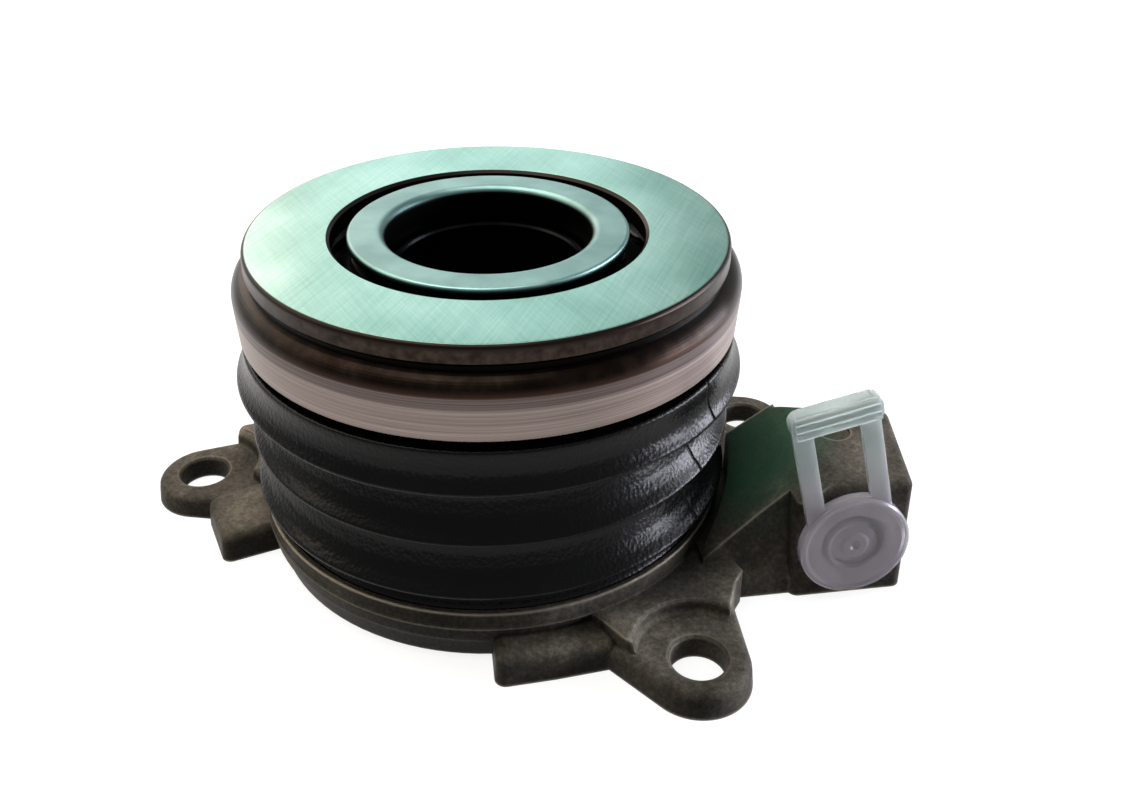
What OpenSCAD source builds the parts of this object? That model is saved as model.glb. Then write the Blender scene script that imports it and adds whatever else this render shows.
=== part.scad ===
// Concentric slave cylinder: a hydraulic clutch release cylinder that sits round the gearbox input shaft.
// Millimetres. Z is the shaft axis, Z = 0 is the mounting face and the fluid port looks along -Y.
// Radii grow outwards from the guide sleeve, and the heights of the moving stack hang from the contact face.

/* [Mounting ears] */
// distance of the ear holes from the drum's wall
ear_reach = 10.6; // [10:0.1:12]
// clearance hole for an M6 screw
ear_hole_d = 6.6; // [6.2:0.1:7]
// radius of an ear's round end
ear_r = 6.4; // [6:0.1:6.8]
// thickness of an ear under the screw head
ear_t = 3.2; // [2.8:0.1:3.6]
// height of the webs behind the ears
web_h = 5; // [4.6:0.1:5.2]
// height of the plain pads beside the ears
pad_h = 3.9; // [3.6:0.1:4.2]
// rounding of the cast edges
cast_r = 1.2; // [0.8:0.1:1.3]
// direction of the front ear
front_angle = -61; // [-63:1:-59]
// direction of the back ear
back_angle = 17; // [15:1:19]
// direction of the left ear
left_angle = 168; // [166:1:170]

/* [Cylinder] */
// outside of the guide sleeve
sleeve_od = 25.2; // [24.6:0.1:26]
// wall of the guide sleeve
sleeve_wall = 1; // [0.8:0.05:1.2]
// height of the guide sleeve's top
sleeve_top = 38; // [35:0.5:40]
// width of the ring piston, from the sleeve to the bore
piston_w = 6.9; // [6.4:0.1:7.6]
// wall of the barrel
barrel_wall = 2.5; // [2:0.1:3]
// height of the chamber's floor
chamber_floor = 3.4; // [3.2:0.1:3.6]
// working stroke of the piston
stroke = 7.5; // [6:0.25:7.5]

/* [Spring and bellows] */
// wire of the preload spring
wire_d = 2.2; // [1.8:0.1:2.6]
// gap between the barrel and the preload spring
spring_gap = 2.1; // [1.7:0.1:2.6]
// turns of the preload spring between its closed ends
coils = 3; // [2:0.5:4]
// wall of the bellows
bellows_t = 1.2; // [0.9:0.1:1.4]
// depth of the upper fold
upper_fold = 4.3; // [3.8:0.1:4.8]
// depth of the two lower folds
lower_fold = 3.05; // [2.6:0.05:3.6]

/* [Drum] */
// height of the rim that holds the bellows
drum_h = 7.2; // [6.8:0.1:7.6]
// wall of that rim
rim_t = 0.8; // [0.6:0.1:1]
// height of the floor that carries the spring
drum_floor = 5.4; // [5.2:0.1:5.6]

/* [Port] */
// sideways place of the port
port_x = 42.4; // [41.8:0.1:43]
// height of the port
port_z = 8.1; // [7.8:0.1:8.4]
// core diameter of the M10 x 1 port thread
port_d = 8.95; // [8.6:0.05:9.2]
// distance of the port face from the shaft axis
port_face = 24.6; // [24.2:0.1:25]
// height of the port block
block_h = 16.2; // [15.6:0.1:17]
// slope of the gusset, rise over run
ramp_slope = 0.75; // [0.65:0.05:0.85]

/* [Release bearing] */
// height of the contact face
face_z = 42.5; // [42:0.1:44]
// width of the collar's flange
collar_w = 4.7; // [4.3:0.1:5]
// open ring between the collar and the contact face
open_w = 2.1; // [1.8:0.1:2.4]
// width of the contact face
face_w = 10.2; // [9.8:0.1:10.8]
// how far the shell stands out past the contact face
shell_out = 2; // [1.7:0.1:2.4]
// ball diameter
ball_d = 7; // [6.6:0.1:7.2]
// number of balls
ball_count = 16; // [12:1:17]

/* [Plug] */
// diameter of the plug's disc
plug_d = 14; // [13:0.1:14.4]
// thickness of the disc
plug_t = 1.3; // [1.1:0.1:1.6]
// thickness of the straps
strap_t = 0.9; // [0.7:0.1:1.1]
// width across the two straps
tab_w = 10.7; // [10:0.1:11.4]
// width of one strap
strap_w = 2.4; // [2:0.1:2.8]
// length from the disc's centre to the end of the tab
tab_l = 21.6; // [20:0.2:24]
// lean of the tab from the vertical
tab_lean = 13.5; // [0:0.5:20]

/* [Hidden] */
$fn = 96;
small = 0.01;
// running clearance of the piston on its two guides
slide_gap = 0.03;
// gap between turning and standing rings
turn_gap = 0.3;
// play of a ball in its race and pocket
race_gap = 0.06;
pocket_gap = 0.15;
// clear height kept at both ends of the stroke
end_gap = 0.4;
// clearance between the coil spring and the bellows
coil_gap = 0.9;
// clearance of the bellows in the casting
boot_gap = 0.6;
// a height above everything, for cuts that run out at the top
above = face_z + block_h;

// radii of the cylinder, from the sleeve outwards
sleeve_r = sleeve_od / 2;
sleeve_in_r = sleeve_r - sleeve_wall;
bore_r = sleeve_r + piston_w;
barrel_r = bore_r + barrel_wall;
spring_r = barrel_r + spring_gap + wire_d / 2;
boot_waist_r = spring_r + wire_d / 2 + coil_gap + bellows_t;
rim_in_r = boot_waist_r + 1.45;
drum_r = rim_in_r + rim_t + 0.15;
ear_pitch_r = drum_r + ear_reach;
lip_r = boot_waist_r + upper_fold;
low_lip_r = boot_waist_r + lower_fold;
plate_r = boot_waist_r + 1.05;
boot_collar_r = plate_r + 2.05;

// radii of the bearing, from the sleeve outwards
collar_in_r = sleeve_r + 0.4;
collar_tube_r = collar_in_r + 1;
collar_r = collar_in_r + collar_w;
face_hole_r = collar_r + open_w;
face_r = face_hole_r + face_w;
rim_r = face_r + 0.35;
seat_r = face_r + 0.05;
shell_r = face_r + shell_out;
ball_r = ball_d / 2;
race_r = ball_r + race_gap;
ball_pitch_r = (face_hole_r + face_r) / 2 + 0.1;
inner_flange_r = ball_pitch_r + 1;
race_edge = ball_r + 0.25;
race_rise = ball_r + 0.1;
shell_lip_r = inner_flange_r + 2.4;

// heights of the moving stack, measured down from the contact face
ball_z = face_z - 3.1 - ball_r;
shell_top = face_z - 3.3;
shell_low = ball_z - ball_r - 0.9;
flange_top = shell_low - 0.6;
flange_low = flange_top - 1.2;
plate_low = flange_low - 1;
collar_top = face_z + 0.14;
collar_low = collar_top - 1.14;
collar_foot = flange_top - 5;
inner_top = collar_low - 1.6;

// heights inside the cylinder
barrel_h = plate_low - stroke - end_gap;
stop_z = barrel_h - 2;
head_top = stop_z - 0.1;
head_low = head_top - 4.5;
seal_low = head_low - 3;

// underside of the base: sleeve flange, its seal and the base seal
sleeve_seal_r = sleeve_r + 1.9;
seal_groove_w = 1.8;
sleeve_flange_r = sleeve_seal_r + 2;
sleeve_flange_t = 1.2;
base_seal_r = sleeve_flange_r + 1.8;
base_seal_w = 2.2;

// bellows and spring heights
boot_top = flange_low + 0.5;
lip_1_z = flange_low - 4.5;
lip_pitch = (lip_1_z - drum_h - 2.8) / 2;
seat_t = 1;
spring_low = drum_floor + seat_t + wire_d / 2;
spring_high = plate_low - wire_d / 2;

// fluid channel between the port and the chamber
channel_r = 1.2;
channel_y = 13.1 - port_face;
channel_z = chamber_floor + 0.2;
channel_ball_r = 2.4;
port_depth = 15;
block_left = port_x - 7.4;
block_right = port_x + 7.6;
block_back = port_face - 19;
ramp_top_x = port_x - 4.1;

// points of an arc about c from angle a0 to a1
function arc(c, r, a0, a1, n = 8) =
    [for (i = [0:n]) c + r * [cos(a0 + (a1 - a0) * i / n), sin(a0 + (a1 - a0) * i / n)]];

// a rounded rectangle from corner a to corner b
function rounded(a, b, r) = concat(
    arc([b[0] - r, b[1] - r], r, 0, 90, 5), arc([a[0] + r, b[1] - r], r, 90, 180, 5),
    arc([a[0] + r, a[1] + r], r, 180, 270, 5), arc([b[0] - r, a[1] + r], r, 270, 360, 5));

module ring(r_in, r_out, z0, z1) {
    rotate_extrude()
        translate([r_in, z0])
            square([r_out - r_in, z1 - z0]);
}

module slab(points, h) {
    linear_extrude(h)
        polygon(points);
}

// a rounded post: the corner of a cast pad
module post(x, y, h) {
    translate([x, y, 0]) {
        cylinder(h = h - cast_r, r1 = cast_r + 0.15, r2 = cast_r, $fn = 32);
        translate([0, 0, h - cast_r])
            sphere(cast_r, $fn = 32);
    }
}

// round end of an ear: drafted wall and rounded top edge
module ear_end(angle) {
    rotate(angle)
        translate([ear_pitch_r, 0, 0])
            rotate_extrude($fn = 64)
                polygon(concat([[0, 0], [ear_r, 0]],
                    arc([ear_r - 0.2 - cast_r, ear_t - cast_r], cast_r, 0, 90, 5), [[0, ear_t]]));
}

// screw hole of an ear, with the spot face for the screw head run out into the web
module ear_cut(angle) {
    spot_r = ear_r + 0.6;
    rotate(angle)
        translate([ear_pitch_r, 0, 0]) {
            translate([0, 0, -1])
                cylinder(h = above, d = ear_hole_d);
            translate([0, 0, ear_t - 0.35])
                cylinder(h = 1, r1 = ear_hole_d / 2, r2 = ear_hole_d / 2 + 1);
            rotate_extrude()
                polygon([[0, ear_t], [spot_r, ear_t], [spot_r + 0.35, ear_t + 0.15],
                    [spot_r + 0.5, ear_t + 0.5], [spot_r + 0.6, web_h - 0.45], [spot_r + 0.85, web_h - 0.15],
                    [spot_r + 1.6, web_h + 0.1], [spot_r + 2, web_h + 3], [0, web_h + 3]]);
        }
}

// turned outline of the drum, drafted both ways from its widest line
module drum() {
    rotate_extrude()
        polygon([[0, 0], [drum_r - 1.5, 0], [drum_r - 0.6, 2.9], [drum_r - 0.4, 3], [drum_r, 4.95],
            [drum_r - 0.1, 5.1], [drum_r - 0.15, drum_h], [0, drum_h]]);
}

module front_ear() {
    hull() {
        ear_end(front_angle);
        post(11.3, -32.9, ear_t);
        post(12, -22, ear_t);
        post(25.6, -26.5, ear_t);
        post(23, -18, ear_t);
    }
    // raised web between the ear, the drum and the gusset
    slab([[4, -22], [6.6, -27.2], [9.6, -30.7], [11.9, -34.2], [13.4, -35], [18, -30], [24.6, -32.2],
        [27.3, -26.3], [28.6, -24.6], [26, -16]], web_h);
    // plain pad
    hull() {
        post(-1.9, -33.2, pad_h);
        post(3.8, -32.9, pad_h);
        post(9.9, -32.3, pad_h);
        post(-1.7, -25, pad_h);
        post(7, -24, pad_h);
    }
}

module left_ear() {
    hull() {
        ear_end(left_angle);
        post(-34, 1.6, ear_t);
        post(-26, 0, ear_t);
        post(-26, 13, ear_t);
        post(-34.5, 15, ear_t);
    }
    hull() {
        post(-35.4, -6.6, pad_h);
        post(-37.7, 0.6, pad_h);
        post(-26, -3.7, pad_h);
        post(-26, 6, pad_h);
    }
    hull() {
        post(-35.2, 16.2, web_h + 0.3);
        post(-35.2, 11, web_h + 0.3);
        post(-31, 4.5, web_h + 0.3);
        post(-24, 6, web_h + 0.3);
        post(-22, 19, web_h + 0.3);
    }
}

module back_ear() {
    hull() {
        ear_end(back_angle);
        post(34.5, 18.5, ear_t);
        post(24, 18, ear_t);
        post(37.5, 2, ear_t);
        post(26, 0, ear_t);
    }
    slab([[20, 20.5], [31, 20.6], [33.5, 19.6], [34.6, 16.5], [33.5, 12], [35.5, 7.5], [40.2, 0], [40.3, -7],
        [24, -6]], web_h);
}

// outline seen along Y: the gusset's ramp, rounded into the top of the port block
module ramp_outline() {
    low_x = block_left - 13;
    slope = function (x) block_h - ramp_slope * (ramp_top_x - x);
    polygon([[low_x, -1], [block_right + 10, -1], [block_right + 10, block_h], [ramp_top_x + 1.9, block_h],
        [ramp_top_x + 0.6, block_h - 0.15], [ramp_top_x - 0.4, block_h - 0.5],
        [ramp_top_x - 1.3, slope(ramp_top_x - 1.3)], [low_x, slope(low_x)]]);
}

module port_block() {
    inset = cast_r + 0.15;
    intersection() {
        union() {
            hull() {
                post(block_left + inset, inset - port_face, block_h);
                post(block_right - inset, inset - port_face, block_h);
                post(block_right + 1.5, -block_back - 3.6, block_h);
                post(block_left + inset, -block_back - 0.1, block_h);
            }
            // gusset: its front wall sweeps back from the foot
            translate([block_left - 11, 0, 0])
                rotate([90, 0, 90])
                    linear_extrude(14)
                        polygon([[0.7 - port_face, 0], [0.75 - port_face, 2.1], [1 - port_face, 2.8],
                            [1.7 - port_face, 4.5], [2.6 - port_face, 7.5], [3.4 - port_face, 11],
                            [3.9 - port_face, block_h + 2], [1 - block_back, block_h + 2],
                            [2.4 - block_back, 0]]);
        }
        rotate([90, 0, 0])
            translate([0, 0, -2])
                linear_extrude(port_face + 10)
                    ramp_outline();
    }
}

// everything turned or drilled out of the casting on the shaft axis
module housing_bores() {
    translate([0, 0, -1])
        cylinder(h = above, r = sleeve_r);
    translate([0, 0, -1])
        cylinder(h = 1 + sleeve_flange_t, r = sleeve_flange_r + 0.1);
    ring(sleeve_seal_r - seal_groove_w / 2, sleeve_seal_r + seal_groove_w / 2, 0.5, sleeve_flange_t + 1.1);
    ring(base_seal_r - base_seal_w / 2, base_seal_r + base_seal_w / 2, -1, 1.5);
    translate([0, 0, chamber_floor])
        cylinder(h = above, r = bore_r);
    ring(bore_r - 1, bore_r + 1, stop_z, stop_z + 1);
    translate([0, 0, barrel_h])
        cylinder(h = above, r = rim_in_r);
    ring(barrel_r, rim_in_r, drum_floor, above);
    // clearance of the bellows above and beside the rim: its upper lip stays above the port block
    ring(rim_in_r - 1, low_lip_r + boot_gap, drum_h, above);
    ring(drum_r - 0.15, low_lip_r + boot_gap, web_h + 0.5, above);
}

module channel_bores() {
    translate([port_x, -port_face, port_z])
        rotate([-90, 0, 0]) {
            translate([0, 0, -1])
                cylinder(h = port_depth + 1, d = port_d);
            translate([0, 0, port_depth - small])
                cylinder(h = 2.6, r1 = port_d / 2, r2 = 0.2);
            translate([0, 0, -small])
                cylinder(h = 0.8, r1 = port_d / 2 + 0.8, r2 = port_d / 2);
        }
    translate([0, channel_y, channel_z])
        rotate([0, 90, 0]) {
            translate([0, 0, bore_r - 5])
                cylinder(h = block_right - bore_r, r = channel_r);
            translate([0, 0, block_right - 4])
                cylinder(h = port_x, r = channel_ball_r + 0.02);
        }
    // shallow round cast mark on the block's top
    translate([port_x + 1.3, 12.1 - port_face, block_h - 0.3])
        cylinder(h = 2, r = 2.1);
}

module housing() {
    color("#6f6d66")
        difference() {
            union() {
                drum();
                cylinder(h = barrel_h, r = barrel_r);
                front_ear();
                left_ear();
                back_ear();
                port_block();
            }
            housing_bores();
            ear_cut(front_angle);
            ear_cut(back_angle);
            ear_cut(left_angle);
            channel_bores();
        }
}

module guide_sleeve() {
    color("#b9bcbc")
        rotate_extrude()
            polygon([[sleeve_in_r, 0], [sleeve_flange_r, 0], [sleeve_flange_r, sleeve_flange_t],
                [sleeve_r, sleeve_flange_t], [sleeve_r, sleeve_top - 0.5], [sleeve_r - 0.3, sleeve_top],
                [sleeve_in_r + 0.2, sleeve_top], [sleeve_in_r, sleeve_top - 0.3]]);
}

// a round seal pressed flat between two faces
module pressed_seal(r, section, z0, z1) {
    rotate_extrude()
        intersection() {
            translate([r, (z0 + z1) / 2])
                circle(d = section, $fn = 48);
            translate([r - section, z0])
                square([2 * section, z1 - z0]);
        }
}

module sleeve_o_ring() {
    color("#1c1c1c")
        pressed_seal(sleeve_seal_r, seal_groove_w - 0.2, sleeve_flange_t, sleeve_flange_t + 1.1);
}

module base_seal() {
    color("#1c1c1c")
        pressed_seal(base_seal_r, base_seal_w - 0.2, 0.05, 1.5);
}

module channel_ball() {
    color("#c2c4c6")
        translate([block_right - 4 + channel_ball_r, channel_y, channel_z])
            sphere(channel_ball_r);
}

module stop_ring() {
    color("#3a3a3c")
        rotate([0, 0, 20])
            rotate_extrude(angle = 325)
                translate([bore_r - 1.2, stop_z])
                    square([2.2, 1]);
}

module spring_seat() {
    step_r = spring_r - wire_d / 2 - 0.5;
    out_r = spring_r + wire_d / 2 + 0.4;
    color("#2a2a2c")
        rotate_extrude()
            polygon([[barrel_r + 0.3, drum_floor], [out_r, drum_floor], [out_r, drum_floor + seat_t],
                [step_r, drum_floor + seat_t], [step_r - 0.1, drum_floor + seat_t + 1.6],
                [barrel_r + 0.3, drum_floor + seat_t + 1.6]]);
}

// coil spring with closed ends, swept along its helix
module preload_spring() {
    turns = coils + 1.5;
    steps = ceil(turns * 24);
    sides = 10;
    height = function (turn) spring_low
        + (spring_high - spring_low) * min(1, max(0, (turn - 0.75) / (turns - 1.5)));
    points = [for (i = [0:steps], k = [0:sides - 1])
        let (turn = turns * i / steps, r = spring_r + wire_d / 2 * cos(360 * k / sides))
        [r * cos(360 * turn), r * sin(360 * turn), height(turn) + wire_d / 2 * sin(360 * k / sides)]];
    walls = [for (i = [0:steps - 1], k = [0:sides - 1])
        let (n = (k + 1) % sides)
        [i * sides + k, (i + 1) * sides + k, (i + 1) * sides + n, i * sides + n]];
    first = [for (k = [0:sides - 1]) k];
    last = [for (k = [sides - 1:-1:0]) steps * sides + k];
    color("#8d8f92")
        polyhedron(points, concat(walls, [first, last]), convexity = 10);
}

// one lampshade fold seen in half section: out along its cone and back under its lip
function fold(z_lip, r_lip, h) =
    let (r = boot_waist_r, d = r_lip - boot_waist_r)
    [[r, z_lip + h], [r + 0.28 * d, z_lip + 0.63 * h], [r + 0.56 * d, z_lip + 0.36 * h],
        [r_lip - 0.1, z_lip + 0.2], [r_lip, z_lip], [r_lip - 0.25, z_lip - 0.15], [r + 0.5, z_lip - 0.95]];

// the same fold from inside, one wall further in
function fold_inside(z_lip, r_lip, h) =
    let (r = boot_waist_r - bellows_t)
    [[r, z_lip - 1.3], [r_lip - bellows_t - 0.6, z_lip + 0.35], [r, z_lip + h]];

module bellows() {
    z2 = lip_1_z - lip_pitch;
    z3 = z2 - lip_pitch;
    h = lip_pitch - 1.7;
    foot_r = rim_in_r - 0.05;
    hook_r = plate_r - 1.8;
    in_r = boot_waist_r - bellows_t;
    outer = concat(
        [[hook_r, boot_top], [boot_collar_r - 0.2, boot_top], [boot_collar_r, boot_top - 0.2],
            [boot_collar_r, lip_1_z + 2.8], [lip_r - 0.1, lip_1_z + 0.2], [lip_r, lip_1_z],
            [lip_r - 0.25, lip_1_z - 0.15], [boot_waist_r + 0.5, lip_1_z - 0.95]],
        fold(z2, low_lip_r, h),
        fold(z3, low_lip_r, h),
        [[boot_waist_r + 0.5, drum_h + 0.6], [foot_r, drum_h], [foot_r, drum_floor]]);
    inner = concat(
        [[in_r + 0.6, drum_floor], [in_r + 0.6, drum_h]],
        fold_inside(z3, low_lip_r, h),
        fold_inside(z2, low_lip_r, h),
        [[in_r, lip_1_z - 1.3], [lip_r - bellows_t - 0.7, lip_1_z + 0.35],
            [boot_collar_r - 2.2, lip_1_z + 2.4], [hook_r, plate_low], [plate_r, plate_low],
            [plate_r, flange_low], [hook_r, flange_low]]);
    color("#141414")
        rotate_extrude()
            polygon(concat(outer, inner));
}

module piston() {
    in_r = sleeve_r + slide_gap;
    out_r = bore_r - slide_gap;
    stem_r = bore_r - 1.6;
    color("#c9c2ac")
        rotate_extrude()
            polygon([[in_r, head_low], [out_r, head_low], [out_r, head_top - 0.4], [out_r - 0.4, head_top],
                [stem_r, head_top], [stem_r, flange_low], [barrel_r, flange_low], [barrel_r, flange_top],
                [collar_tube_r, flange_top], [collar_tube_r, collar_foot], [in_r + 0.95, collar_foot],
                [in_r + 0.95, collar_foot - 1.5], [in_r, collar_foot - 1.5]]);
}

module piston_seal() {
    in_r = sleeve_r + slide_gap;
    out_r = bore_r - slide_gap;
    mid = (in_r + out_r) / 2;
    color("#20231f")
        rotate_extrude()
            polygon([[in_r, seal_low], [in_r + 0.8, seal_low], [mid - 1.6, seal_low + 1.6],
                [mid + 1.6, seal_low + 1.6], [out_r - 0.8, seal_low], [out_r, seal_low], [out_r, head_low],
                [in_r, head_low]]);
}

module wiper_ring() {
    in_r = sleeve_r + slide_gap;
    color("#2b2f2a")
        rotate_extrude()
            polygon([[in_r + 0.03, collar_foot - 0.3], [in_r + 0.4, collar_foot], [in_r + 0.95, collar_foot],
                [in_r + 0.95, collar_foot - 1.5], [in_r + 0.3, collar_foot - 1.5],
                [in_r + 0.3, collar_foot - 0.8], [in_r + 0.03, collar_foot - 0.6]]);
}

module spring_plate() {
    color("#77797b")
        ring(bore_r - 1.6, plate_r, plate_low, flange_low);
}

module inner_ring() {
    color("#8a8c8e")
        rotate_extrude()
            difference() {
                polygon([[collar_tube_r + 0.5, flange_top], [inner_flange_r, flange_top],
                    [inner_flange_r, ball_z - race_rise], [ball_pitch_r - race_edge, ball_z],
                    [ball_pitch_r - race_edge - 0.45, ball_z + 0.8], [collar_r - 0.2, inner_top - 1],
                    [collar_r - 0.4, inner_top], [collar_tube_r + 0.5, inner_top]]);
                translate([ball_pitch_r, ball_z])
                    circle(race_r);
            }
}

module bearing_seal() {
    color("#1b1b1b")
        ring(inner_flange_r, shell_lip_r - turn_gap, flange_top + 0.3, ball_z - race_rise - 0.1);
}

module centring_spring() {
    in_r = collar_tube_r + 0.7;
    out_r = collar_r - 0.5;
    color("#6b6d70")
        rotate_extrude()
            polygon([[in_r, inner_top], [in_r + 0.5, inner_top], [out_r, collar_low - 0.5],
                [out_r, collar_low], [out_r - 0.5, collar_low], [in_r, inner_top + 0.5]]);
}

module retaining_collar() {
    color("#a9a6a0")
        rotate_extrude()
            polygon(concat([[collar_in_r, collar_foot], [collar_tube_r, collar_foot],
                    [collar_tube_r, collar_low], [collar_r, collar_low]],
                arc([collar_r - 0.4, collar_top - 0.4], 0.4, 0, 90, 4),
                arc([collar_in_r + 1.1, collar_top - 1.1], 1.1, 90, 180, 8)));
}

module bearing_balls() {
    color("#d6d8da")
        for (i = [0:ball_count - 1])
            rotate(360 * i / ball_count)
                translate([ball_pitch_r, 0, ball_z])
                    sphere(ball_r);
}

// cage: a cone between the two races with a pocket round each ball
module ball_cage() {
    along = [0.797, -0.604];
    across = [0.604, 0.797];
    centre = [ball_pitch_r, ball_z];
    tail = ball_r + 0.9;
    nose = ball_r - 0.1;
    color("#2e2a26")
        difference() {
            rotate_extrude()
                polygon([centre - tail * along - 0.9 * across, centre + nose * along - 0.9 * across,
                    centre + nose * along + 0.9 * across, centre - tail * along + 0.9 * across]);
            for (i = [0:ball_count - 1])
                rotate(360 * i / ball_count)
                    translate([ball_pitch_r, 0, ball_z])
                        sphere(ball_r + pocket_gap);
        }
}

module contact_ring() {
    plate_z = face_z - 2.6;
    color("#b7c4c0")
        rotate_extrude()
            difference() {
                polygon(concat(
                    [[face_hole_r, plate_z], [face_hole_r, face_z - 0.4], [face_hole_r + 0.4, face_z]],
                    arc([rim_r - 0.6, face_z - 0.6], 0.6, 90, 0, 6),
                    [[rim_r, face_z - 2.2], [seat_r, plate_z], [seat_r, shell_low + 1],
                        [ball_pitch_r + race_edge, shell_low + 1], [ball_pitch_r + race_edge, ball_z],
                        [ball_pitch_r - 1, ball_z + race_rise], [ball_pitch_r - 2, plate_z]]));
                translate([ball_pitch_r, ball_z])
                    circle(race_r);
            }
}

module bearing_shell() {
    wide_z = shell_top - 2.2;
    color("#8f8984")
        rotate_extrude()
            polygon(concat([[seat_r, shell_top]],
                arc([shell_r - 2.2, wide_z], 2.2, 68, 0, 8),
                [[shell_r - 0.1, wide_z - 1.5], [shell_r - 0.4, shell_low + 0.2], [shell_r - 0.6, shell_low],
                    [shell_lip_r, shell_low], [shell_lip_r, shell_low + 1], [seat_r, shell_low + 1]]));
}

// soft plug: disc with a raised edge, hollow stem in the port and a leaning pull tab with a ribbed grip
module port_plug() {
    disc_r = plug_d / 2;
    stem_r = port_d / 2 - 0.32;
    color("#d9d3e0")
        translate([port_x, -port_face, port_z])
            rotate([90, 0, 0]) {
                difference() {
                    union() {
                        // face of the disc: raised edge, shallow dish, low boss and gate dimple
                        rotate_extrude()
                            polygon([[0, 0], [disc_r, 0], [disc_r, plug_t - 0.25], [disc_r - 0.25, plug_t],
                                [disc_r - 0.6, plug_t], [disc_r - 1, plug_t - 0.2], [3.5, plug_t - 0.2],
                                [3, plug_t - 0.4], [1.9, plug_t - 0.4], [1.5, plug_t - 0.22],
                                [0.7, plug_t - 0.22], [0.4, plug_t - 0.5], [0, plug_t - 0.5]]);
                        translate([0, 0, -8.5])
                            cylinder(h = 9, r = stem_r);
                        rotate(tab_lean)
                            pull_tab(disc_r);
                    }
                    translate([0, 0, -9])
                        cylinder(h = 9 - 0.5, r = stem_r - 1.1);
                }
            }
}

module pull_tab(disc_r) {
    bar_h = 3.4;
    bar_low = tab_l - bar_h;
    window_w = tab_w - 2 * strap_w;
    linear_extrude(strap_t)
        difference() {
            translate([-tab_w / 2, 0])
                square([tab_w, tab_l - 1]);
            difference() {
                polygon(rounded([-window_w / 2, 0], [window_w / 2, bar_low], 0.8));
                circle(disc_r + 0.3);
            }
        }
    linear_extrude(1.7)
        polygon(rounded([-tab_w / 2 - 0.25, bar_low], [tab_w / 2 + 0.25, tab_l], 1.3));
    for (k = [0:2])
        translate([0, bar_low + 0.65 + 1.05 * k, 1.7])
            rotate([0, 90, 0])
                cylinder(h = tab_w - 0.4, r = 0.5, center = true, $fn = 24);
}

housing();
guide_sleeve();
sleeve_o_ring();
base_seal();
channel_ball();
stop_ring();
spring_seat();
preload_spring();
bellows();
piston();
piston_seal();
wiper_ring();
spring_plate();
inner_ring();
bearing_seal();
centring_spring();
retaining_collar();
bearing_balls();
ball_cage();
contact_ring();
bearing_shell();
port_plug();
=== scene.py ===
# %% [markdown]
# A concentric slave cylinder, dressed in cells
#
# A hydraulic clutch release cylinder sits round the gearbox shaft: a cast base with three ears, a rubber
# bellows over a spring, and a ball bearing whose ground ring meets the clutch. The exact solids arrive as a
# fixed frame in metres. These cells add the camera, the light, the soft pieces and every surface finish.

import math

import bpy
import numpy as np
from mathutils import Matrix, Vector


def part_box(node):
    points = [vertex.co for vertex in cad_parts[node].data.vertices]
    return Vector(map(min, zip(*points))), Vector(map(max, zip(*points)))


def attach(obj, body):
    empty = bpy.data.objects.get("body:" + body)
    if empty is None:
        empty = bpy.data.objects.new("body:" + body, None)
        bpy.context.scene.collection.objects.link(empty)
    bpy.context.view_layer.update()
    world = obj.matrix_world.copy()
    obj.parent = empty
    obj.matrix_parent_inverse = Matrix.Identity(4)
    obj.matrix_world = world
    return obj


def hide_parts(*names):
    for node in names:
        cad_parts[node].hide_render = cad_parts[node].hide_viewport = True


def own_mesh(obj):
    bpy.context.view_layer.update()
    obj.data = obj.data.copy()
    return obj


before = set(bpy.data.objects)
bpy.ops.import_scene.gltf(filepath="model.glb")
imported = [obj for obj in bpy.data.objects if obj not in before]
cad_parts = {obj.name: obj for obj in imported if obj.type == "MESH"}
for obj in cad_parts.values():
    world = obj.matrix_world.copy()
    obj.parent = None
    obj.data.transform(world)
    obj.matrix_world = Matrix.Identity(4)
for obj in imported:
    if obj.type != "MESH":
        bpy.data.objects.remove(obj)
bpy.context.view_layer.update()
scene = bpy.context.scene

# %% [markdown]
# Camera
#
# The photograph was taken from close by and a little above, so near parts look larger. The place, the angles
# and the lens were worked out from known circles and corners of the part. A small downward shift of the frame
# keeps upright edges nearly parallel, as they are in the photograph.

# %% Place the camera
MM = 0.001
eye = Vector((-10.941, -133.022, 100.941)) * MM
heading, pitch, roll = np.radians([8.73, 25.512, -0.464])

cam_data = bpy.data.cameras.new("photo_camera")
cam_data.sensor_fit = "HORIZONTAL"
cam_data.sensor_width = 36.0
cam_data.lens = 36.95
cam_data.shift_y = -0.12
cam_data.clip_start = 0.005
cam_data.clip_end = 50.0
camera = bpy.data.objects.new("photo_camera", cam_data)
scene.collection.objects.link(camera)

level = math.cos(pitch)
forward = Vector((math.sin(heading) * level, math.cos(heading) * level, -math.sin(pitch)))
level_right = Vector((math.cos(heading), -math.sin(heading), 0.0))
level_down = forward.cross(level_right)
right = math.cos(roll) * level_right + math.sin(roll) * level_down
up = math.sin(roll) * level_right - math.cos(roll) * level_down
turn = Matrix((right, up, -forward)).transposed().to_4x4()
camera.matrix_world = Matrix.Translation(eye) @ turn
scene.camera = camera
scene.view_settings.view_transform = "Standard"
print("camera at", [round(v, 4) for v in camera.matrix_world.translation])

# %% [markdown]
# Colours and nodes
#
# Colours are written as the sRGB hex values that one reads off a picture, and one function turns them to the
# linear values that a shader wants. A second one adds any node, sets it and links it, so that each finish
# below reads as a list of what goes into it. A Mix node has sockets of one name for numbers and for colours,
# so these are named here by their place.

# %% Colour and node helpers
NUMBER_A, NUMBER_B = 2, 3
COLOUR_A, COLOUR_B = 6, 7
IN_COLOUR = {"data_type": "RGBA", "out": 2}


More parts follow.
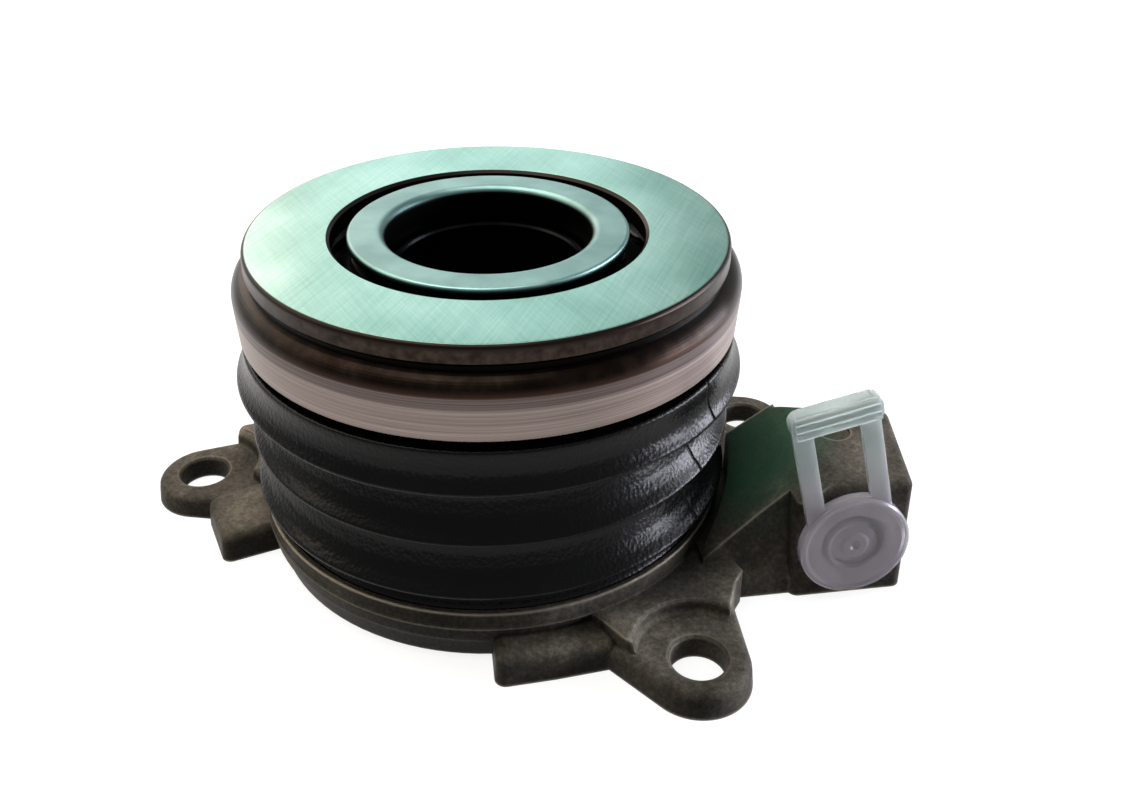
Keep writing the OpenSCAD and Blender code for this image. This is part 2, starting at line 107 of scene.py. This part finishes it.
def linear(code):
    """sRGB hex to linear RGBA: a channel up to 0.04045 is divided by 12.92, the rest follow the 2.4 power."""
    channels = np.array([int(code[i:i + 2], 16) for i in (1, 3, 5)]) / 255
    low = channels / 12.92
    high = ((channels + 0.055) / 1.055) ** 2.4
    return (*np.where(channels <= 0.04045, low, high), 1.0)


def feed(tree, node, inputs):
    """Fills sockets of a node: the output of another node is linked, anything else is set as a value."""
    for name, value in inputs.items():
        if isinstance(value, bpy.types.NodeSocket):
            tree.links.new(value, node.inputs[name])
        else:
            node.inputs[name].default_value = value


def put(tree, kind, inputs=None, stops=(), out=0, **settings):
    """Adds one node and returns the output that is asked for, by its place or its name.

    Inputs are its sockets, stops the places and colours of a ramp, and settings its properties.
    """
    node = tree.nodes.new("ShaderNode" + kind)
    for name, value in settings.items():
        setattr(node, name, value)
    feed(tree, node, inputs or {})
    if stops:
        bar = node.color_ramp.elements
        while len(bar) < len(stops):
            bar.new(0.5)
        for element, (place, code) in zip(bar, stops):
            element.position = place
            element.color = linear(code)
    return node.outputs[out] if len(node.outputs) else None


def fresh_tree(owner):
    """The emptied node tree of a material or of the world."""
    owner.use_nodes = True
    owner.node_tree.nodes.clear()
    return owner.node_tree


def finish_for(name):
    """A new material with its tree, its Principled shader and the Object coordinates for its patterns."""
    material = bpy.data.materials.new(name)
    tree = fresh_tree(material)
    surface = put(tree, "BsdfPrincipled")
    put(tree, "OutputMaterial", {"Surface": surface})
    return material, tree, surface.node, put(tree, "TexCoord", out="Object")


def per_mm(size):
    """Texture scale for features of that many millimetres: features per metre."""
    return 1 / (size * MM)


def by_height(tree, place_on, start, end):
    """A share from the height in millimetres: 0 at the start, 1 at the end, and a straight line between."""
    up_z = put(tree, "SeparateXYZ", {0: place_on}, out="Z")
    return put(tree, "MapRange", {"Value": up_z, "From Min": start * MM, "From Max": end * MM})


def dress(material, *names):
    """Puts the material on whole CAD nodes."""
    for name in names:
        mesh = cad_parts[name].data
        mesh.materials.clear()
        mesh.materials.append(material)
    print(material.name, "on", ", ".join(names))


print("a middle grey, #808080, is", round(linear("#808080")[0], 3), "of full light")

# %% [markdown]
# Floor and backdrop
#
# The photograph is cut out on white. A floor that glows for the eye and for reflections stays white and still
# takes a soft shadow. It throws little light back up, so walls that lean away from the lamps fall dark. The
# world does the same: pale where it is seen, weak where it lights.

# %% Build the stage
half, floor_z = 3.0, -0.02 * MM
floor_mesh = bpy.data.meshes.new("floor")
floor_corners = [(half * x, half * y, floor_z) for x, y in [(-1, -1), (1, -1), (1, 1), (-1, 1)]]
floor_mesh.from_pydata(floor_corners, [], [(0, 1, 2, 3)])
floor = bpy.data.objects.new("floor", floor_mesh)
scene.collection.objects.link(floor)


def seen_directly(tree):
    """1 for rays from the eye, from a reflection or through glass, 0 for rays that only carry soft light."""
    path = put(tree, "LightPath").node.outputs
    seen = put(tree, "Math", {0: path["Is Camera Ray"], 1: path["Is Glossy Ray"]}, operation="MAXIMUM")
    return put(tree, "Math", {0: seen, 1: path["Is Transmission Ray"]}, operation="MAXIMUM")


white = (1, 1, 1, 1)
floor_paper = bpy.data.materials.new("white_paper_floor")
tree = fresh_tree(floor_paper)
dark_paper = put(tree, "BsdfDiffuse", {"Color": (0.03, 0.03, 0.03, 1)})
dim_paper = put(tree, "BsdfDiffuse", {"Color": (0.3, 0.3, 0.3, 1)})
glow = put(tree, "Emission", {"Color": white, "Strength": 0.85})
lit_paper = put(tree, "AddShader", {0: dim_paper, 1: glow})
paper = put(tree, "MixShader", {0: seen_directly(tree), 1: dark_paper, 2: lit_paper})
put(tree, "OutputMaterial", {"Surface": paper})
floor_mesh.materials.append(floor_paper)

world = bpy.data.worlds.new("studio")
scene.world = world
tree = fresh_tree(world)
weak = put(tree, "Background", {"Color": linear("#dfe8e6"), "Strength": 0.06})
pale = put(tree, "Background", {"Color": white, "Strength": 0.45})
backdrop = put(tree, "MixShader", {0: seen_directly(tree), 1: weak, 2: pale})
put(tree, "OutputWorld", {"Surface": backdrop})
print("floor", 2 * half, "m wide, world", world.name)

# %% [markdown]
# Lamps
#
# The part was lit by windows behind it and to its right. A low, wide, cool lamp on the right draws the
# highlights of the rubber, and a small one above it those of the bearing's shoulder. One overhead and a warm
# one behind on the left light the tops. A pale wall and a warm glow far behind are what the ground contact
# face mirrors.

# %% Hang the lamps
lamp_aim = Vector((0, 0, 20)) * MM


def soft_lamp(name, compass, height, far, size, watts, colour="#ffffff"):
    """An area lamp turned to the part: it hangs far metres from the aim, along the two angles in degrees."""
    data = bpy.data.lights.new(name, "AREA")
    data.shape = "RECTANGLE"
    data.size, data.size_y = size
    data.energy = watts
    data.color = linear(colour)[:3]
    lamp = bpy.data.objects.new(name, data)
    scene.collection.objects.link(lamp)
    side, rise = np.radians([compass, height])
    away = Vector((math.cos(side) * math.cos(rise), math.sin(side) * math.cos(rise), math.sin(rise)))
    lamp.location = lamp_aim + far * away
    lamp.rotation_euler = away.to_track_quat("Z", "Y").to_euler()


soft_lamp("window_right", compass=-4, height=8, far=0.55, size=(0.42, 0.11), watts=4.4, colour="#eeeffc")
soft_lamp("skylight_right", compass=8, height=24, far=0.60, size=(0.32, 0.06), watts=1.0, colour="#eeeffc")
soft_lamp("window_behind", compass=150, height=48, far=0.60, size=(0.70, 0.70), watts=4.0, colour="#fff1de")
soft_lamp("ceiling", compass=170, height=82, far=0.50, size=(0.35, 0.35), watts=1.5)
soft_lamp("pale_wall_behind", compass=99, height=21, far=0.80, size=(0.66, 0.34), watts=1.0)
soft_lamp("warm_glow_behind", compass=106, height=21, far=0.80, size=(0.22, 0.26), watts=0.36,
          colour="#ffa68e")

# %% [markdown]
# Turned and swept pieces
#
# The bellows and the coil spring change shape when the piston moves. Here they are new surfaces, built in
# one shape, that take the place of the rigid solids. The bellows is an outline carried round the axis, and
# the spring is a circle carried along a helix. Both come from one grid function.


# %% Grid and outline helpers
def grid_piece(name, points, closed=True):
    """A mesh from an array of rows x columns x 3: each cell of the grid is one face.

    The last column always joins the first one. The last row joins the first where the piece is closed.
    """
    rows, columns = points.shape[:2]
    number = np.arange(rows * columns).reshape(rows, columns)
    next_row = np.roll(number, -1, 0)
    next_column = np.roll(number, -1, 1)
    next_both = np.roll(next_row, -1, 1)
    cells = np.stack([number, next_row, next_both, next_column], -1)
    cells = cells[:rows if closed else rows - 1].reshape(-1, 4)
    mesh = bpy.data.meshes.new(name)
    mesh.from_pydata(points.reshape(-1, 3), [], cells)
    mesh.shade_smooth()
    piece = bpy.data.objects.new(name, mesh)
    scene.collection.objects.link(piece)
    return piece


def smooth_profile(corners, step, rounds):
    """A closed outline resampled at equal steps and rounded.

    In each round, a point becomes half itself and a quarter of each of its two neighbours.
    """
    corners = np.vstack([corners, corners[:1]])
    length = np.r_[0, np.cumsum(np.hypot(*np.diff(corners, axis=0).T))]
    places = np.linspace(0, length[-1], int(length[-1] / step), endpoint=False)
    outline = np.stack([np.interp(places, length, corners[:, k]) for k in (0, 1)], -1)
    for _ in range(rounds):
        outline = 0.5 * outline + 0.25 * (np.roll(outline, 1, 0) + np.roll(outline, -1, 0))
    return outline


# %% [markdown]
# Outline of the bellows
#
# A moulded rubber boot with three lampshade folds: each flares out like a trumpet to a sharp lower lip and
# cuts back underneath. The lower two folds are alike. The outline lists radius and height in millimetres,
# down the outside and up the inside.

# %% Draw the folds
boot_low, boot_high = (corner.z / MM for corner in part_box("bellows"))
waist_r, lip_r, inner_r = 28.4, 31.45, 27.3
lip_heights = 17.6, 10.1
upper_fold = [(28.0, 30.2), (31.3, 30.2), (31.5, 30.0), (31.45, 28.2), (31.6, 27.2), (32.0, 26.3),
              (32.7, 25.3), (32.4, 24.95), (29.0, 24.2)]
fold = np.array([(waist_r, 6.0), (28.7, 4.2), (29.4, 2.5), (30.3, 1.2), (lip_r, 0.0), (lip_r - 0.3, -0.3),
                 (29.0, -1.0)])
lower_folds = [fold + (0, height) for height in lip_heights]
foot = [(29.0, 8.0), (29.75, 7.3), (29.75, boot_low), (28.0, boot_low), (27.4, 8.6)]
inside = [(29.4, 10.3), (inner_r, 15.4), (inner_r, 16.6), (29.4, 17.8), (inner_r, 23.0), (inner_r, 24.2),
          (30.4, 25.5), (29.4, 28.6), (28.0, 28.7)]
outline = smooth_profile(np.vstack([upper_fold, *lower_folds, foot, inside]), step=0.22, rounds=2)
print("outline of the bellows:", len(outline), "points")

# %% [markdown]
# Bellows with its mould seams
#
# The two halves of the mould leave two fine upright lines. They are shallow grooves whose depth follows a
# bell curve of the angle, so the grid is finer beside them. The real boot is clipped to the spring plate
# above and stands in the rim of the casting below, so it shortens as the piston goes down; this one is fixed
# to the housing in one shape.

# %% Turn the bellows
seam_at, seam_depth, seam_width = 319, 0.22, 0.3
seamed_from_r = 28.7
beside = np.array([0.15, 0.3, 0.5, 0.8, 1.2])
near_seam = np.concatenate([-beside[::-1], [0], beside])
around = np.unique(np.concatenate([np.arange(0, 360, 2), seam_at - 180 + near_seam, seam_at + near_seam]))
seam_gap = np.abs((around[None, :] - seam_at + 90) % 180 - 90)
groove = seam_depth * np.exp(-(seam_gap / seam_width) ** 2) * (outline[:, :1] > seamed_from_r)
radius = outline[:, :1] - groove
turn_round = np.radians(around)
boot_points = np.stack([radius * np.cos(turn_round), radius * np.sin(turn_round),
                        np.broadcast_to(outline[:, 1:], radius.shape)], -1)
boot = grid_piece("rubber_bellows", boot_points[::-1] * MM)
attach(boot, "housing")
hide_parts("bellows")
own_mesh(boot)
print("bellows:", len(boot.data.polygons), "faces, from", round(boot_low, 2), "to", round(boot_high, 2), "mm")

# %% [markdown]
# Preload spring
#
# A coil of round wire with closed ends holds the release bearing lightly against the clutch. It is hidden
# under the bellows but shows when pieces are looked at alone, so it gets a true helix. The height stands
# still in the end turns and rises evenly between them. The wire's ends run to a point, so they are closed.

# %% Make the spring
coil_low, coil_high = (corner.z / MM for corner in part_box("preload_spring"))
wire_r, coil_r = 1.1, 25.2
turns, end_turn, end_point = 4.5, 0.75, 0.004
steps_along, steps_round = 420, 20
place = np.linspace(0, turns, steps_along)
rise = np.clip((place - end_turn) / (turns - 2 * end_turn), 0, 1)
height = coil_low + wire_r + (coil_high - coil_low - 2 * wire_r) * rise
section = np.linspace(0, 2 * np.pi, steps_round, endpoint=False)
from_end = np.minimum(place, turns - place)[:, None]
thick = wire_r * np.sqrt(np.clip(from_end / end_point, 0, 1))
reach = coil_r + thick * np.cos(section)
angle = 2 * np.pi * place[:, None]
coil_points = np.stack([reach * np.cos(angle), reach * np.sin(angle),
                        height[:, None] + thick * np.sin(section)], -1)
coil = grid_piece("coil_spring", coil_points * MM, closed=False)
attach(coil, "housing")
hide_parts("preload_spring")
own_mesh(coil)
print("spring:", len(coil.data.polygons), "faces")

# %% [markdown]
# Die-cast aluminium
#
# The housing is pressure die cast and left as it comes: dull grey-brown, with a sandy grain, dark pits and
# clouds from the release agent. Three noises give them, from 12 mm down to 0.4 mm. On the ramp beside the
# bellows a green light is painted in, a painted reflection that fades with the distance from one point.

# %% Cast skin
green_light_centre = Vector((33, -10, 12)) * MM
cast_aluminium, tree, shader, place_on = finish_for("die_cast_aluminium")
stain = put(tree, "TexNoise", {"Vector": place_on, "Scale": per_mm(12), "Detail": 4.0, "Roughness": 0.6})
mottle = put(tree, "TexNoise", {"Vector": place_on, "Scale": per_mm(0.6), "Detail": 5.0, "Roughness": 0.8})
grain = put(tree, "TexNoise", {"Vector": place_on, "Scale": per_mm(0.4), "Detail": 3.0, "Roughness": 0.7})
cloud = put(tree, "Mix", {"Factor": 0.4, NUMBER_A: stain, NUMBER_B: mottle})
skin = put(tree, "ValToRGB", {0: cloud},
           stops=[(0.36, "#23221f"), (0.46, "#423f39"), (0.54, "#57534b"), (0.66, "#847d70")])
# Painted reflection: a green light painted on the ramp, strongest at one point and fading with distance.
from_green_light = put(tree, "VectorMath", {0: place_on, 1: green_light_centre}, out="Value", operation="DISTANCE")
painted_green_light = put(tree, "MapRange", {"Value": from_green_light, "From Min": 13 * MM, "From Max": 6 * MM, "To Max": 0.7})
green_lit_skin = put(tree, "Mix", {"Factor": painted_green_light, COLOUR_A: skin, COLOUR_B: linear("#35634a")}, **IN_COLOUR)
rough = put(tree, "MapRange", {"Value": cloud, "To Min": 0.3, "To Max": 0.6})
feed(tree, shader, {"Roughness": rough, "Specular IOR Level": 0.04})
dress(cast_aluminium, "housing")

# %% [markdown]
# Painted edge highlights and painted corner shade
#
# A Bevel node rounds the hard edges for the light alone, and where it bends the surface most a pale, metallic
# edge is painted in: a painted highlight along every outward edge. An Ambient Occlusion node finds the inner
# corners, which are painted dark instead: painted shade.

# %% Painted highlights and shade of the casting
rounded = put(tree, "Bevel", {"Radius": 0.8 * MM}, samples=6)
straight = put(tree, "NewGeometry", out="True Normal")
bend = put(tree, "VectorMath", {0: rounded, 1: straight}, out="Value", operation="DOT_PRODUCT")
# Painted highlight: outward edges get a pale metal colour and full metalness.
edge_highlight_share = put(tree, "MapRange", {"Value": bend, "From Min": 0.97, "From Max": 0.76, "To Max": 0.75})
openness = put(tree, "AmbientOcclusion", {"Distance": 4 * MM}, out="AO", samples=8, only_local=True)
# Painted shade: inner corners, found by the occlusion, are darkened towards near black.
painted_corner_shade = put(tree, "MapRange", {"Value": openness, "From Min": 0.9, "From Max": 0.4, "To Max": 0.75})
exposed = put(tree, "MapRange", {"Value": openness, "From Min": 0.7, "From Max": 0.95})
painted_edge_highlight = put(tree, "Math", {0: edge_highlight_share, 1: exposed}, operation="MULTIPLY")
# Near black painted shade in the corners, then the pale painted highlight on the edges.
corner_shaded_skin = put(tree, "Mix", {"Factor": painted_corner_shade, COLOUR_A: green_lit_skin, COLOUR_B: linear("#141311")}, **IN_COLOUR)
colour = put(tree, "Mix", {"Factor": painted_edge_highlight, COLOUR_A: corner_shaded_skin, COLOUR_B: linear("#b3ab9b")}, **IN_COLOUR)
sandy = put(tree, "Bump", {"Height": grain, "Strength": 0.6, "Distance": 0.08 * MM, "Normal": rounded})
pitted = put(tree, "Bump", {"Height": mottle, "Strength": 0.6, "Distance": 0.12 * MM, "Normal": sandy})
feed(tree, shader, {"Base Color": colour, "Metallic": painted_edge_highlight, "Normal": pitted})
print(cast_aluminium.name, "has", len(tree.nodes), "nodes")

# %% [markdown]
# Ground contact face
#
# The bearing's contact ring is hardened steel whose face is ground flat: pale, with fine marks that cross it
# slantwise in two directions, drawn a little coarser than real, and a teal tint that is a painted reflection
# of a teal ceiling. Its rim is left dark from heat treatment. Height decides which of the two a point is.

# %% Ground steel
face_z, edge_z, groove_z = 42.5, 41.45, 40.4
ground_steel, tree, shader, place_on = finish_for("ground_bearing_steel")
on_face = by_height(tree, place_on, face_z - 0.05, face_z - 0.005)
at_edge = by_height(tree, place_on, edge_z, edge_z + 0.5)
in_groove = by_height(tree, place_on, groove_z, groove_z - 0.4)
lays = []
for slant, length, width, detail, rugged in [(62, 12, 0.3, 4.0, 0.75), (112, 8, 0.35, 3.0, 0.7)]:
    lay = put(tree, "Mapping", {"Vector": place_on, "Rotation": (0, 0, math.radians(slant)),
                                "Scale": (length * MM, width * MM, length * MM)}, vector_type="TEXTURE")
    lays.append(put(tree, "TexNoise", {"Vector": lay, "Scale": 1.0, "Detail": detail, "Roughness": rugged}))
marks = put(tree, "Mix", {"Factor": 0.4, NUMBER_A: lays[0], NUMBER_B: lays[1]})
cloud = put(tree, "TexNoise", {"Vector": place_on, "Scale": per_mm(18), "Detail": 2.0})
tint = put(tree, "Mix", {"Factor": 0.55, NUMBER_A: marks, NUMBER_B: cloud})
# Painted reflection: the teal tones stand in for a teal ceiling mirrored in plain ground steel.
face = put(tree, "ValToRGB", {0: tint}, stops=[(0.36, "#70a195"), (0.5, "#8cbaaf"), (0.64, "#a9cfc6")])
speck = put(tree, "TexNoise", {"Vector": place_on, "Scale": per_mm(1.1), "Detail": 4.0})
rim = put(tree, "ValToRGB", {0: speck}, stops=[(0.35, "#241e1b"), (0.65, "#3a312c")])
edged = put(tree, "Mix", {"Factor": at_edge, COLOUR_A: rim, COLOUR_B: linear("#241e1b")}, **IN_COLOUR)
# Painted shade: below the groove height the ring is painted near black, for the shade in the groove by the
# shell.
groove_shaded = put(tree, "Mix", {"Factor": in_groove, COLOUR_A: edged, COLOUR_B: linear("#080706")}, **IN_COLOUR)
colour = put(tree, "Mix", {"Factor": on_face, COLOUR_A: groove_shaded, COLOUR_B: face}, **IN_COLOUR)
rough = put(tree, "MapRange", {"Value": marks, "To Min": 0.24, "To Max": 0.42})
bump = put(tree, "Bump", {"Height": marks, "Strength": 0.3, "Distance": 0.02 * MM})
feed(tree, shader, {"Base Color": colour, "Roughness": rough, "Normal": bump, "Metallic": 1.0})
dress(ground_steel, "contact_ring")

# %% [markdown]
# Forged and turned shell
#
# Round the contact ring sits a steel shell. Its shoulder keeps a smooth dark brown forging skin, and the band
# below has been turned on a lathe, which leaves bright metal with fine uneven rings. Noise that is drawn out
# along the band and pressed together upwards gives them. Their pitch is a little coarser than real, so that
# they show. The highlights are drawn out across the rings, as on any turned metal.

# %% Turned steel
warm_z, band_z, bright_z = 38.0, 37.2, 35.8
turned_steel, tree, shader, place_on = finish_for("forged_and_turned_steel")
reddish = by_height(tree, place_on, warm_z, warm_z - 0.7)
bare = by_height(tree, place_on, band_z, band_z - 0.25)
lower = by_height(tree, place_on, bright_z, bright_z - 0.3)
drawn = put(tree, "Mapping", {"Vector": place_on, "Scale": (per_mm(45), per_mm(45), per_mm(0.16))})
rings = put(tree, "TexNoise", {"Vector": drawn, "Scale": 1.0, "Detail": 5.0, "Roughness": 0.7})
speck = put(tree, "TexNoise", {"Vector": place_on, "Scale": per_mm(2.2), "Detail": 5.0, "Roughness": 0.6})
skin = put(tree, "ValToRGB", {0: speck}, stops=[(0.36, "#16100d"), (0.52, "#1c1612"), (0.68, "#261e1a")])
warm_skin = put(tree, "Mix", {"Factor": reddish, COLOUR_A: skin, COLOUR_B: linear("#32251f")}, **IN_COLOUR)
upper_band = put(tree, "ValToRGB", {0: rings}, stops=[(0.35, "#4a403e"), (0.65, "#6b605d")])
lower_band = put(tree, "ValToRGB", {0: rings}, stops=[(0.32, "#6a5f5a"), (0.5, "#80746f"), (0.68, "#9b908a")])
band = put(tree, "Mix", {"Factor": lower, COLOUR_A: upper_band, COLOUR_B: lower_band}, **IN_COLOUR)
colour = put(tree, "Mix", {"Factor": bare, COLOUR_A: warm_skin, COLOUR_B: band}, **IN_COLOUR)
rough = put(tree, "MapRange", {"Value": bare, "To Min": 0.34, "To Max": 0.4})
bump = put(tree, "Bump", {"Height": rings, "Strength": 0.4, "Distance": 0.04 * MM})
along = put(tree, "Tangent", direction_type="RADIAL", axis="Z")
feed(tree, shader, {"Base Color": colour, "Roughness": rough, "Normal": bump, "Tangent": along,
                    "Metallic": 1.0, "Anisotropic": 0.7, "Anisotropic Rotation": 0.25})
dress(turned_steel, "bearing_shell")

# %% [markdown]
# Boot rubber
#
# Black moulded rubber with a leathery grain from the mould, which breaks its highlights into small bright
# cells. The grain is drawn a little coarser than real, so that it shows. The colour is nearly black and the
# gloss low, so that only the light of the window shows the form.

# %% Boot rubber
boot_rubber, tree, shader, place_on = finish_for("moulded_black_rubber")
cells = put(tree, "TexVoronoi", {"Vector": place_on, "Scale": per_mm(0.5), "Smoothness": 0.3},
            out="Distance", feature="SMOOTH_F1")
wrinkle = put(tree, "TexNoise", {"Vector": place_on, "Scale": per_mm(0.7), "Detail": 4.0, "Roughness": 0.6})
dust = put(tree, "TexNoise", {"Vector": place_on, "Scale": per_mm(11), "Detail": 3.0})
tone = put(tree, "ValToRGB", {0: dust}, stops=[(0.4, "#020203"), (0.7, "#050606")])
leathery = put(tree, "Bump", {"Height": cells, "Strength": 0.4, "Distance": 0.08 * MM})
wrinkled = put(tree, "Bump", {"Height": wrinkle, "Strength": 0.4, "Distance": 0.08 * MM, "Normal": leathery})
rough = put(tree, "MapRange", {"Value": wrinkle, "To Min": 0.22, "To Max": 0.32})
feed(tree, shader, {"Base Color": tone, "Roughness": rough, "Normal": wrinkled, "Specular IOR Level": 0.14})
boot.data.materials.append(boot_rubber)
dress(boot_rubber, "bellows")

# %% [markdown]
# Drawn and polished steels
#
# The collar, the sleeve, the balls and the small rings are steels with different skins. They share one
# recipe, in which only the colour, the roughness and the size of the clouding change. The collar's teal is a
# painted reflection, and below its flat top it is painted near black as shade in its bore and on its lip.


# %% Plain steels
def steel(name, dark, light, roughness, cloud_mm, painted_shade_below=0):
    """A metal whose colour drifts between two tones over that many millimetres.

    Where a height is given, it is painted near black below it, as painted shade, and the change takes 0.7 mm.
    """
    material, tree, shader, place_on = finish_for(name)
    cloud = put(tree, "TexNoise", {"Vector": place_on, "Scale": per_mm(cloud_mm), "Detail": 4.0})
    fine = put(tree, "TexNoise", {"Vector": place_on, "Scale": per_mm(0.3), "Detail": 2.0})
    tone = put(tree, "ValToRGB", {0: cloud}, stops=[(0.35, dark), (0.65, light)])
    if painted_shade_below:
        # Painted shade: below the given height the colour goes to near black.
        out_of_painted_shade = by_height(tree, place_on, painted_shade_below - 0.7, painted_shade_below)
        tone = put(tree, "Mix", {"Factor": out_of_painted_shade, COLOUR_A: linear("#0b0c0c"), COLOUR_B: tone}, **IN_COLOUR)
    rough = put(tree, "MapRange", {"Value": cloud, "To Min": roughness - 0.07, "To Max": roughness + 0.07})
    bump = put(tree, "Bump", {"Height": fine, "Strength": 0.15, "Distance": 0.02 * MM})
    feed(tree, shader, {"Base Color": tone, "Roughness": rough, "Normal": bump, "Metallic": 1.0})
    return material


# The collar's teal is a painted reflection; the near black below its flat top is painted shade in bore and
# lip.
dress(steel("drawn_collar_steel", "#6d918d", "#85a9a5", 0.4, 6, painted_shade_below=42.6), "retaining_collar")
dress(steel("honed_sleeve_steel", "#101212", "#1c1f1f", 0.3, 5), "guide_sleeve")
dress(steel("polished_ball_steel", "#b8bbbd", "#d9dbdc", 0.12, 3), "bearing_balls", "channel_ball")
dress(steel("blackened_spring_steel", "#262729", "#414244", 0.38, 3),
      "stop_ring", "inner_ring", "centring_spring")
dress(steel("phosphated_sheet_steel", "#1b1c1c", "#2b2c2c", 0.45, 4), "spring_plate")
spring_wire = steel("drawn_spring_wire", "#5f6163", "#8e9092", 0.32, 3)
coil.data.materials.append(spring_wire)
dress(spring_wire, "preload_spring")

# %% [markdown]
# Rubbers and hard plastics
#
# Seals, the spring seat, the cage and the piston are moulded. Each has its own tone and a fine matt grain.


# %% Moulded pieces
def moulded(name, dark, light, roughness, grain_mm):
    """A plastic or rubber whose tone varies slightly, with a matt grain of that many millimetres."""
    material, tree, shader, place_on = finish_for(name)
    drift = put(tree, "TexNoise", {"Vector": place_on, "Scale": per_mm(5), "Detail": 3.0})
    grain = put(tree, "TexNoise", {"Vector": place_on, "Scale": per_mm(grain_mm), "Detail": 2.0})
    tone = put(tree, "ValToRGB", {0: drift}, stops=[(0.35, dark), (0.65, light)])
    rough = put(tree, "MapRange", {"Value": grain, "To Min": roughness - 0.08, "To Max": roughness + 0.08})
    bump = put(tree, "Bump", {"Height": grain, "Strength": 0.3, "Distance": 0.04 * MM})
    feed(tree, shader, {"Base Color": tone, "Roughness": rough, "Normal": bump})
    return material


dress(moulded("nitrile_rubber", "#0c0c0c", "#191919", 0.5, 0.4),
      "sleeve_o_ring", "base_seal", "piston_seal", "wiper_ring", "bearing_seal")
dress(moulded("black_polyamide", "#121211", "#22211f", 0.45, 0.35), "spring_seat", "ball_cage")
dress(moulded("glass_filled_phenolic", "#8f8468", "#b3a88a", 0.5, 0.3), "piston")

# %% [markdown]
# Plug polyethylene
#
# The transport plug is soft, milky polyethylene. Part of the light goes through a rough surface and part is
# scattered just under it, so the plug takes some of the colour of what lies round it. Two tones by height
# help that along: the disc is faintly mauve and the tab faintly cool.

# %% Plug plastic
mauve_below, cool_above = 13, 22
plug_plastic, tree, shader, place_on = finish_for("milky_polyethylene")
drift = put(tree, "TexNoise", {"Vector": place_on, "Scale": per_mm(6), "Detail": 3.0})
fine = put(tree, "TexNoise", {"Vector": place_on, "Scale": per_mm(0.5), "Detail": 2.0})
on_tab = by_height(tree, place_on, mauve_below, cool_above)
disc_tone = put(tree, "ValToRGB", {0: drift}, stops=[(0.35, "#dcd5dd"), (0.65, "#ece6ed")])
tab_tone = put(tree, "ValToRGB", {0: drift}, stops=[(0.35, "#dae7e6"), (0.65, "#eaf5f3")])
tone = put(tree, "Mix", {"Factor": on_tab, COLOUR_A: disc_tone, COLOUR_B: tab_tone}, **IN_COLOUR)
bump = put(tree, "Bump", {"Height": fine, "Strength": 0.2, "Distance": 0.04 * MM})
rough = put(tree, "MapRange", {"Value": drift, "To Min": 0.18, "To Max": 0.3})
feed(tree, shader, {"Base Color": tone, "Roughness": rough, "Normal": bump, "IOR": 1.51,
                    "Transmission Weight": 0.68, "Subsurface Weight": 1.0,
                    "Subsurface Radius": (1.0, 1.0, 1.0), "Subsurface Scale": 2 * MM})
dress(plug_plastic, "port_plug")
